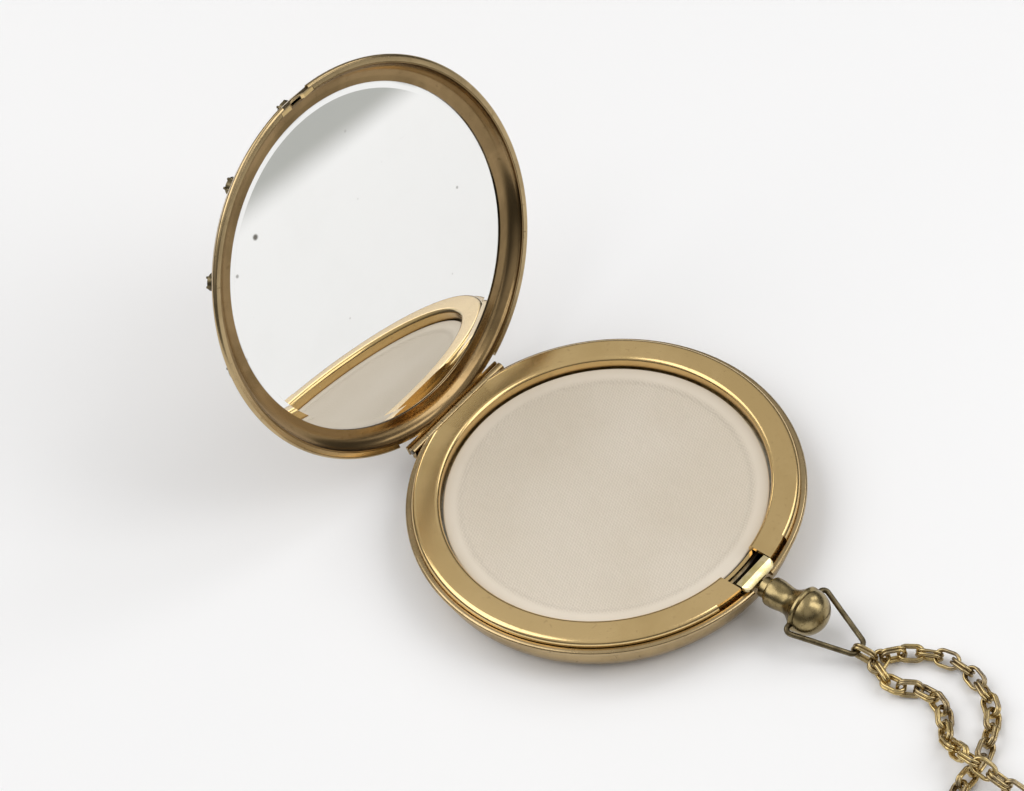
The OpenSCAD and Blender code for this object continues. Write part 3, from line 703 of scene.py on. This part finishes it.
def carve(piece: bpy.types.Object, *cutters: bpy.types.Object) -> bpy.types.Object:
    """Cuts shapes out of a piece and deletes them.

    Args:
        piece: The piece.
        cutters: What is cut out of it.

    Returns:
        The piece.
    """
    for cutter in cutters:
        cut = piece.modifiers.new("cut", "BOOLEAN")
        cut.operation, cut.solver, cut.object = "DIFFERENCE", "EXACT", cutter
        plain_mesh(piece)
        bpy.data.objects.remove(cutter)
    shade(piece.data)
    return piece


class Rig(NodeTree):
    """A geometry node group, with the shapes and moves that the pieces need."""

    def __init__(self, name: str, takes: bool = False) -> None:
        """Start the group.

        Args:
            name: Its name.
            takes: Whether it changes a mesh that it is given, and doesn't make its own.
        """
        super().__init__(bpy.data.node_groups.new(name, "GeometryNodeTree"))
        for way in ("INPUT", "OUTPUT") if takes else ("OUTPUT",):
            self.tree.interface.new_socket("Geometry", in_out=way, socket_type="NodeSocketGeometry")
        self.start = self.tree.nodes.new("NodeGroupInput")
        self.values: dict[str, Any] = {}

    def entry(self, name: str, value: float | int) -> bpy.types.NodeSocket:
        """Add a named input with its value and give the socket that it feeds."""
        kind = "NodeSocketInt" if isinstance(value, int) else "NodeSocketFloat"
        item = self.tree.interface.new_socket(name, in_out="INPUT", socket_type=kind)
        self.values[item.identifier] = value
        return next(socket for socket in self.start.outputs if socket.identifier == item.identifier)

    def node(self, kind: str, inputs: dict[Any, Any], **settings: Any) -> bpy.types.NodeSocket:
        """Add one node and give its first output."""
        return self.add(kind, settings, inputs).outputs[0]

    def join(self, *parts: bpy.types.NodeSocket) -> bpy.types.NodeSocket:
        """Join several geometries."""
        made = self.add("GeometryNodeJoinGeometry", {}, {})
        for part in parts:
            self.tree.links.new(part, made.inputs[0])
        return made.outputs[0]

    def lift(self, shape: bpy.types.NodeSocket, height: float, turn: float = 0.0) -> bpy.types.NodeSocket:
        """Move a shape up by millimetres and turn it about its own axis by degrees."""
        moves = {"Translation": (0, 0, height * MM), "Rotation": (0, 0, math.radians(turn))}
        return self.node("GeometryNodeTransform", {0: shape, **moves})

    def cone(self, sides: int, low: float, high: float, height: float) -> bpy.types.NodeSocket:
        """Make a cut-off cone that stands on its foot, sized in millimetres."""
        radii = {"Radius Top": high * MM, "Radius Bottom": low * MM}
        return self.node("GeometryNodeMeshCone", {"Vertices": sides, "Depth": height * MM, **radii})

    def round_about(self, shape: bpy.types.NodeSocket, count: Any, radius: Any, lean: Any,
                    wobble: float = 0.0, seed: Any = 0) -> bpy.types.NodeSocket:
        """Sets copies of a shape out on a circle, each leaning in or out.

        Args:
            shape: The shape.
            count: Number of copies.
            radius: The circle's radius in metres.
            lean: The lean outward in radians.
            wobble: How far a copy may be turned about its own axis, in radians.
            seed: The seed of that turn.

        Returns:
            The copies.
        """
        circle = self.node("GeometryNodeMeshCircle", {"Vertices": count, "Radius": radius})
        step = self.node("ShaderNodeMath", {0: math.tau, 1: count}, operation="DIVIDE")
        index = self.node("GeometryNodeInputIndex", {})
        angle = self.node("ShaderNodeMath", {0: index, 1: step}, operation="MULTIPLY")
        way = self.node("ShaderNodeCombineXYZ", {1: lean, 2: angle})
        turn = self.node("FunctionNodeEulerToRotation", {0: way})
        copies = self.node("GeometryNodeInstanceOnPoints", {0: circle, "Instance": shape, "Rotation": turn})
        if wobble:
            drawn = self.add("FunctionNodeRandomValue", {"data_type": "FLOAT"},
                             {2: -wobble, 3: wobble, "Seed": seed}).outputs[1]
            own = self.node("FunctionNodeEulerToRotation", {0: self.node("ShaderNodeCombineXYZ", {2: drawn})})
            copies = self.node("GeometryNodeRotateInstances", {0: copies, "Rotation": own})
        return copies

    def put_on(self, piece: bpy.types.Object) -> None:
        """Hang the group on a piece with its inputs set."""
        holder = piece.modifiers.new(self.tree.name, "NODES")
        holder.node_group = self.tree
        for identifier, value in self.values.items():
            holder[identifier] = value


def smooth_skin() -> Rig:
    """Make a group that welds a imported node's loose triangles and shades it between its sharp edges."""
    rig = Rig("smooth_skin", takes=True)
    limit = rig.entry("Sharp angle", math.radians(SKIN_SHARP))
    weld = rig.node("GeometryNodeMergeByDistance", {0: rig.start.outputs[0], "Distance": 2e-7})
    over = rig.node("FunctionNodeCompare", {0: rig.node("GeometryNodeInputMeshEdgeAngle", {}), 1: limit},
                    data_type="FLOAT", operation="GREATER_THAN")
    faces = rig.node("GeometryNodeSetShadeSmooth", {0: weld, "Shade Smooth": True}, domain="FACE")
    shown = rig.node("GeometryNodeSetShadeSmooth", {0: faces, "Selection": over, "Shade Smooth": False},
                     domain="EDGE")
    rig.add("NodeGroupOutput", {}, {0: shown})
    return rig


@dataclass(frozen=True)
class Lamp:
    """One soft box: its direction seen from the case, and its distance and size in metres."""

    name: str
    way: Triple
    distance: float
    width: float
    height: float
    level: float  # how bright its face is, where the lit table is 1

    def hang(self) -> None:
        """Hang the box so that it faces the case."""
        data = bpy.data.lights.new(self.name, "AREA")
        data.shape, data.size, data.size_y = "RECTANGLE", self.width, self.height
        data.energy = self.level * math.pi * self.width * self.height
        place = Vector(self.way).normalized() * self.distance
        turn = (-place).to_track_quat("-Z", "Y").to_matrix().to_4x4()
        linked(self.name, data).matrix_world = Matrix.Translation(place) @ turn


@dataclass(frozen=True)
class Studio:
    """The camera at the photograph's place, the pale table, and the soft light."""

    focal: float = 4000.0  # in pixels, like the image's width
    image_w: float = 1024.0
    sensor: float = 36.0
    eye: Triple = (-0.27816, -0.29765, 0.50548)
    right: Triple = (0.642308, -0.756449, -0.123395)
    down: Triple = (-0.632764, -0.432513, -0.642294)
    look: Triple = (0.432493, 0.490630, -0.756460)
    table_half: float = 1.5
    table_tone: Colour = tone(247, 247, 248)
    shade_turn: float = 27.5
    shade_from: Point = (246.0, 290.0)
    shade_tone: Colour = tone(180, 181, 178)
    shade_cloud: float = 0.012
    shade_drift: float = 16.0
    ceiling: float = 0.6
    ceiling_from: Point = (0.2, 0.72)
    horizon: float = 0.1
    ground: float = 0.12
    ground_from: Point = (-0.1, -0.2)
    room_tint: Colour = (1.0, 0.99, 0.97)
    lamps: tuple[Lamp, ...] = (
        Lamp("window", (-0.35, 0.5, 0.8), 0.9, 0.95, 0.75, 1.72),
        Lamp("softbox", (0.34, -0.62, 0.7), 0.7, 0.28, 0.6, 2.2),
        Lamp("strip", (0.68, -0.18, 0.7), 0.7, 0.2, 0.35, 2.0),
        Lamp("card", (0.43, -0.86, 0.28), 0.9, 0.6, 0.3, 0.9))

    def camera(self) -> None:
        """Put the camera where the photograph was taken."""
        data = bpy.data.cameras.new("camera")
        data.sensor_fit, data.sensor_width = "HORIZONTAL", self.sensor
        data.lens = self.focal / self.image_w * self.sensor
        data.clip_start, data.clip_end = 0.01, 10.0
        turn = Matrix((self.right, [-v for v in self.down], [-v for v in self.look])).transposed()
        camera = linked("camera", data)
        camera.matrix_world = Matrix.Translation(self.eye) @ turn.to_4x4()
        bpy.context.scene.camera = camera

    def table(self) -> None:
        """Lay the pale table, in shade far in front of the case, where only the mirror sees it."""
        work = bmesh.new()
        bmesh.ops.create_grid(work, x_segments=2, y_segments=2, size=self.table_half)
        table = as_piece("table", work)
        sh = Shader("white_table")
        _, behind, _ = sh.parts(sh.place((0, 0, -self.shade_turn)))
        ahead = -behind + sh.cloud(sh.place(), self.shade_cloud) * self.shade_drift
        colour = sh.blend(ahead.ramp(*self.shade_from), self.table_tone, self.shade_tone)
        table.data.materials.append(sh.finish(Base_Color=colour, Roughness=0.9, Specular_IOR_Level=0.1))

    def sky(self) -> None:
        """Make the room: dark round the horizon and pale above."""
        world = bpy.data.worlds.new("room")
        bpy.context.scene.world = world
        room = ShaderTree(world)
        _, _, up = room.parts(room.node("TexCoord", {}, {}, "Generated"))
        level = up.ramp(*self.ceiling_from) * (self.ceiling - self.horizon) + self.horizon
        level = level + up.ramp(*self.ground_from) * (self.ground - self.horizon)
        walls = room.node("Background", {}, {"Color": (*self.room_tint, 1), "Strength": level})
        room.add("ShaderNodeOutputWorld", {}, {"Surface": walls})

    def build(self) -> None:
        """Set the whole studio up."""
        bpy.context.scene.view_settings.view_transform = "Standard"
        self.camera()
        self.table()
        for lamp in self.lamps:
            lamp.hang()
        self.sky()


@dataclass
class CaseAssembly:
    """The case's bowl with its bead, and the polished ring in its mouth."""

    sizes: Sizes
    square_edge: float = 8.5
    square_in: float = 0.35
    solid: float = 1.85
    flat: float = 1.3
    notch_half: float = 3.75
    notch_in: float = 28.5
    guide_half: float = 1.85
    bead_break: float = 2.3
    bead_neck: Point = (0.06, 0.08)  # how far out and up the wall runs into the bead
    barrel_half: float = 11.4
    pocket_y: float = 31.15
    pocket_z: float = 5.15
    skirt_depth: float = 2.2
    latch_reach: float = 22.05
    flat_half: float = 11.25

    def bowl(self) -> bpy.types.Object:
        """Turn the bowl and cut its openings."""
        s = self.sizes
        foot = s.wall_r - s.foot_round
        inner = s.foot_round - s.case_wall
        low, high = s.bead_z - s.bead_t / 2, s.bead_z + s.bead_t / 2
        bead = arc((s.case_r - s.bead_t / 2, s.bead_z), s.bead_t / 2, s.bead_t / 2, -90, 90, 18)
        outline = [(0.0, 0.0)] + arc((foot, s.foot_round), s.foot_round, s.foot_round, -90, 0, 20)
        outline += [(s.wall_r, low - self.bead_neck[1]), (s.wall_r + self.bead_neck[0], low)] + bead
        root = s.wall_r + s.bead_root
        outline += [(root, high), (root, s.ledge_z), (s.bore_r, s.ledge_z)]
        outline += arc((foot, s.foot_round), inner, inner, 0, -90, 12) + [(0.0, s.case_wall)]
        out = s.case_r + SPARE
        return carve(
            turned("case_bowl", outline, closed=False),
            block((-self.barrel_half, self.pocket_y, self.pocket_z), (self.barrel_half, out, s.case_h)),
            drill(self.guide_half, s.crown_z, foot, s.case_r),
            block((-self.guide_half, -out, s.crown_z), (self.guide_half, -foot, s.case_h)),
            block((-self.bead_break, -out, low - 0.05), (self.bead_break, -s.wall_r, s.case_h)))

    def ring(self) -> bpy.types.Object:
        """Turn the ring, square-edged beside the latch, and cut the latch's notch."""
        s = self.sizes
        edge, lip, sheet = s.ring_edge, s.ring_lip, s.ring_sheet
        crown_arc = arc((s.ring_r - edge, s.case_h - edge), edge, edge, 0, 90, 10)
        face, inward = s.ring_r - self.square_in, edge - self.square_in
        square = [(face, s.case_h - edge + edge * i / 5) for i in range(6)]
        square += [(face - inward * i / 5, s.case_h) for i in range(1, 6)]
        head = [(s.ring_r, s.ledge_z)]
        tail = arc((s.ring_bore + lip, s.case_h - lip), lip, lip, 90, 180, 18)
        tail += [(s.ring_bore, s.seat_z), (s.ring_bore + sheet, s.seat_z)]
        tail += arc((s.ring_bore + lip, s.case_h - lip), lip - sheet, lip - sheet, 180, 90, 8)
        hem = s.ledge_z - self.skirt_depth
        tail += [(s.ring_r - self.solid, s.case_h - sheet), (s.ring_r - self.solid, s.ledge_z)]
        tail += [(s.skirt_r - sheet, s.ledge_z), (s.skirt_r - sheet, hem), (s.skirt_r, hem),
                 (s.skirt_r, s.ledge_z)]
        turn = math.degrees(math.asin(self.square_edge / s.ring_r))

        def section(angle: float) -> list[Point]:
            """The ring's outline at an angle."""
            beside = abs((angle - 270 + 180) % 360 - 180) < turn
            return head + (square if beside else crown_arc) + tail

        half, out, top = self.notch_half, s.ring_r + SPARE, s.case_h + SPARE
        return carve(
            turned("mouth_ring", section(0), variant=section, breaks=(270 - turn, 270 + turn)),
            block((-half, -out, 0), (half, -self.notch_in, top)),
            block((-half, -self.notch_in - SPARE, s.ledge_z), (half, -self.latch_reach, top)),
            block((-self.flat_half, s.ring_r - self.flat, s.ledge_z), (self.flat_half, out, top)))

    def build(self, finishes: Finishes) -> None:
        """Make the pieces and seat them."""
        finishes.seat(self.bowl(), "base_case", "case", Body.BASE)
        finishes.seat(self.ring(), "inner_ring", "ring", Body.BASE)


@dataclass
class Sifter:
    """The stretched cloth on its hoop."""

    sizes: Sizes
    hoop_r: float = 26.45
    gap: float = 0.05
    border: float = 2.5
    fall_w: float = 0.9
    top: float = 6.5
    sink: float = 0.3
    fold: float = 0.2
    thick: float = 0.2
    swell: tuple[Point, ...] = ((0.0, 0.0), (8.0, 0.02), (16.0, 0.03))

    def build(self, finishes: Finishes) -> None:
        edge = self.hoop_r - self.gap
        inner = edge - self.border
        sunk_r, middle = inner - self.fall_w, self.top - self.sink
        outline = [(r, middle + rise) for r, rise in self.swell]
        outline += [(sunk_r + self.fall_w * t, middle + self.sink * t * t * (3 - 2 * t))
                    for t in (i / 8 for i in range(9))]
        outline += arc((edge - self.fold, self.top - self.fold), self.fold, self.fold, 90, 0, 6)
        outline += [(edge, self.top - self.thick), (inner, self.top - self.thick),
                    (sunk_r, middle - self.thick), (0.0, middle - self.thick)]
        cloth = turned("sifter_gauze", outline, 240, closed=False)
        finishes.seat(cloth, "sifter_cloth", "gauze", Body.SIFTER)


@dataclass
class Lid:
    """The lid's pressed shell, its cove bezel and the bevelled glass."""

    sizes: Sizes
    dome_rise: float = 0.5
    wall: float = 0.5
    bezel_z: float = 7.32
    bezel_r: float = 31.9
    bezel_lap: float = 0.6
    bezel_flat: float = 0.84
    bezel_round: float = 0.2
    break_half: float = 12.1
    bevel_w: float = 1.7
    bevel_depth: float = 0.12
    glass_t: float = 1.0
    notch_half: float = 3.7
    notch_gap: float = 0.15
    shell_notch: float = 8.45
    bezel_notch: float = 8.75
    catch_y: float = 32.25
    catch_half: float = 2.9
    bore_r: float = 1.95
    bore_start: float = 27.0

    def pocket(self, top: float) -> list[bpy.types.Object]:
        """Makes the room for the latch's nose.

        Args:
            top: Height of its top.

        Returns:
            The cutters for the closed lid.
        """
        s = self.sizes
        half, back, foot = self.notch_half, -s.mirror_r - self.notch_gap, s.rim_z - SPARE
        return [block((-half, -self.catch_y, foot), (half, back, s.rim_top)),
                block((-half, -s.rim_in, foot), (half, back, top)),
                drill(self.bore_r, s.crown_z, self.bore_start, s.case_r)]

    def shell(self) -> bpy.types.Object:
        """Turn the shell: a slightly domed back, a rounded shoulder and a rolled rim."""
        s = self.sizes
        c, top = s.shoulder_c, s.rim_top + s.shoulder_h
        dome = [(c * t, top + self.dome_rise * (1 - t * t)) for t in (i / 10 for i in range(10))]
        outline = dome + arc((c, s.rim_top), s.shoulder_w, s.shoulder_h, 90, 0, 24)
        outline += arc((s.lid_r - s.rim_t / 2, s.rim_z + s.rim_t / 2), s.rim_t / 2, s.rim_t / 2, 90, -90, 16)
        outline += [(s.rim_in, s.rim_z), (s.rim_in, s.rim_top)]
        outline += arc((c, s.rim_top), s.shoulder_w - self.wall, s.shoulder_h - self.wall, 0, 90, 16)[1:]
        outline += [(r, z - self.wall) for r, z in reversed(dome)]
        half, out = self.catch_half, s.lid_r + SPARE
        return carve(turned("lid_pressing", outline, closed=False), *self.pocket(self.shell_notch),
                     block((-half, -out, 0), (half, -s.case_r, s.rim_top + SPARE)), self.hinge_break())

    def hinge_break(self) -> bpy.types.Object:
        """The break in the rim over the barrel, as a cutter: a box less a disc."""
        s = self.sizes
        core_r, core_h = s.rim_in + 0.3, 20.0
        core = [(0.0, 0.0), (core_r, 0.0), (core_r, core_h), (0.0, core_h)]
        box = block((-self.break_half, 0, s.rim_z - SPARE),
                    (self.break_half, s.lid_r + SPARE, s.rim_top + SPARE))
        return carve(box, turned("core", core, closed=False))

    def bezel(self) -> bpy.types.Object:
        """Turn the bright cove that holds the glass."""
        s = self.sizes
        inner = s.mirror_r - self.bezel_lap
        edge, foot = self.bezel_r - self.bezel_round, self.bezel_z + self.bezel_round
        lip, bed, back = s.mirror_z - 0.27, s.mirror_z - 0.05, s.mirror_z + 0.35
        socket, seam = s.mirror_r + 0.1, s.rim_top - 0.05
        cove = arc((inner + self.bezel_flat, foot), edge - inner - self.bezel_flat, lip - foot, 90, 0, 24)
        outline = [(edge, self.bezel_z), (self.bezel_r, self.bezel_z), (self.bezel_r, seam),
                   (s.rim_in - 0.3, seam), (s.mirror_r + 1, back), (socket, back), (socket, bed),
                   (inner, bed), (inner, lip)] + cove
        return carve(turned("cove_bezel", outline), *self.pocket(self.bezel_notch))

    def glass(self) -> bpy.types.Object:
        """Turn the glass with its bevelled edge."""
        s = self.sizes
        outline = [(0.0, s.mirror_z), (s.mirror_r - self.bevel_w, s.mirror_z),
                   (s.mirror_r, s.mirror_z + self.bevel_depth), (s.mirror_r, s.mirror_z + self.glass_t),
                   (0.0, s.mirror_z + self.glass_t)]
        piece = turned("looking_glass", outline, closed=False)
        shade(piece.data, FACET_SHARP)
        return piece

    def build(self, finishes: Finishes) -> None:
        """Make the pieces, open them about the hinge and seat them."""
        made = ((self.shell(), "lid_shell", "case"), (self.bezel(), "mirror_bezel", "cove"),
                (self.glass(), "mirror_glass", "mirror"))
        for piece, node, finish in made:
            piece.data.transform(self.sizes.opened())
            finishes.seat(piece, node, finish, Body.LID)


@dataclass
class HourMarkers:
    """The stones in their claw settings round the lid, set out by geometry nodes."""

    sizes: Sizes
    count: int = 12
    seed: int = 5
    ring: float = 29.4
    fit: float = 0.05
    cup_r: float = 1.48
    cup_foot: float = 1.28
    cup_h: float = 0.8
    claw_at: float = 1.28
    claw_r: float = 0.3
    claw_tip: float = 0.24
    claw_h: float = 1.1
    claw_lean: float = 9.0
    stone_r: float = 0.9
    table_r: float = 0.54
    girdle_h: float = 0.26
    crown_h: float = 0.3
    stone_turn: float = 0.35  # how far a stone may be turned in its cup

    def shoulder(self) -> Point:
        """Works out where the lid's shoulder carries a setting.

        Returns:
            The height of the seat in millimetres and its lean outward in radians.
        """
        s = self.sizes
        reach = self.ring - s.shoulder_c
        rise = math.sqrt(1 - (reach / s.shoulder_w) ** 2)
        return s.rim_top + s.shoulder_h * rise, math.atan2(reach / s.shoulder_w ** 2, rise / s.shoulder_h)

    def setting(self, rig: Rig) -> bpy.types.NodeSocket:
        """Make the cup and its four claws, which lean in over the stone."""
        cup = rig.lift(rig.cone(32, self.cup_foot, self.cup_r, self.cup_h), self.fit)
        ball = {"Segments": 16, "Rings": 8, "Radius": self.claw_tip * MM}
        tip = rig.lift(rig.node("GeometryNodeMeshUVSphere", ball), self.claw_h)
        claw = rig.join(rig.cone(16, self.claw_r, self.claw_tip, self.claw_h), tip)
        claws = rig.round_about(claw, 4, self.claw_at * MM, -math.radians(self.claw_lean))
        return rig.join(cup, rig.lift(claws, 2 * self.fit, 45.0))

    def gem(self, rig: Rig) -> bpy.types.NodeSocket:
        """Make a cut stone: two crossed crowns of facets on a girdle."""
        foot = self.cup_h + 2 * self.fit
        girdle = rig.lift(rig.cone(16, self.stone_r, self.stone_r, self.girdle_h), foot)
        crowns = [rig.lift(rig.cone(8, self.stone_r, self.table_r, self.crown_h), foot + self.girdle_h, turn)
                  for turn in (0.0, 22.5)]
        return rig.join(girdle, *crowns)

    def build(self, finishes: Finishes) -> None:
        """Make the settings and the stones and seat them on the open lid."""
        height, lean = self.shoulder()
        made = (("hour_claws", "hour_settings", "claw", self.setting, 0.0, CLAW_SHARP),
                ("hour_gems", "hour_stones", "stone", self.gem, self.stone_turn, FACET_SHARP))
        for name, node, finish, shape, wobble, sharp in made:
            rig = Rig(name + "_rig")
            count, radius = rig.entry("Count", self.count), rig.entry("Ring radius", self.ring * MM)
            tilt, seed = rig.entry("Lean", lean), rig.entry("Seed", self.seed)
            copies = rig.round_about(shape(rig), count, radius, tilt, wobble, seed)
            flat = rig.node("GeometryNodeRealizeInstances", {0: rig.lift(copies, height)})
            skinned = rig.node("GeometryNodeSetMaterial", {0: flat, "Material": finishes.made[finish]})
            rig.add("NodeGroupOutput", {}, {0: skinned})
            piece = linked(name, bpy.data.meshes.new(name))
            rig.put_on(piece)
            plain_mesh(piece)
            shade(piece.data, sharp)
            piece.data.transform(self.sizes.opened())
            finishes.seat(piece, node, finish, Body.LID)


class PackedPieces:
    """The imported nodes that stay, each with its finish."""

    nodes_of: ClassVar[dict[str, tuple[str, ...]]] = {
        "tin": ("powder_pan", "sifter_hoop"),
        "powder": ("powder_fill",),
        "case": ("base_hinge_leaf", "stem_guide", "lid_hinge_leaf"),
        "steel": ("hinge_pin", "return_spring"),
        "card": ("mirror_backing",),
        "ring": ("lid_catch",),
        "aged": ("crown_body", "crown_dome", "crown_stem", "stem_rivet"),
        "latch": ("latch_plate",),
        "claw": ("bail",),
        "chain": ("chain_hitch", "chain_far_strand", "chain_lower_strand", "chain_loop", "chain_crossing",
                  "chain_near_strand"),
    }

    def build(self, finishes: Finishes) -> None:
        """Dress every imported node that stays."""
        skin = smooth_skin()
        for key, names in self.nodes_of.items():
            for name in names:
                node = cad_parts[name]
                finishes.dress(node, key)
                skin.put_on(node)
            LOG.info("%s: %s", key, ", ".join(names))


def main() -> None:
    """Build the studio and the compact, in order."""
    logging.basicConfig(level=logging.INFO, format="%(name)s: %(message)s")
    Studio().build()
    sizes = Sizes()
    finishes = Finishes()
    CaseAssembly(sizes).build(finishes)
    Sifter(sizes).build(finishes)
    Lid(sizes).build(finishes)
    HourMarkers(sizes).build(finishes)
    PackedPieces().build(finishes)


if __name__ == "__main__":
    main()
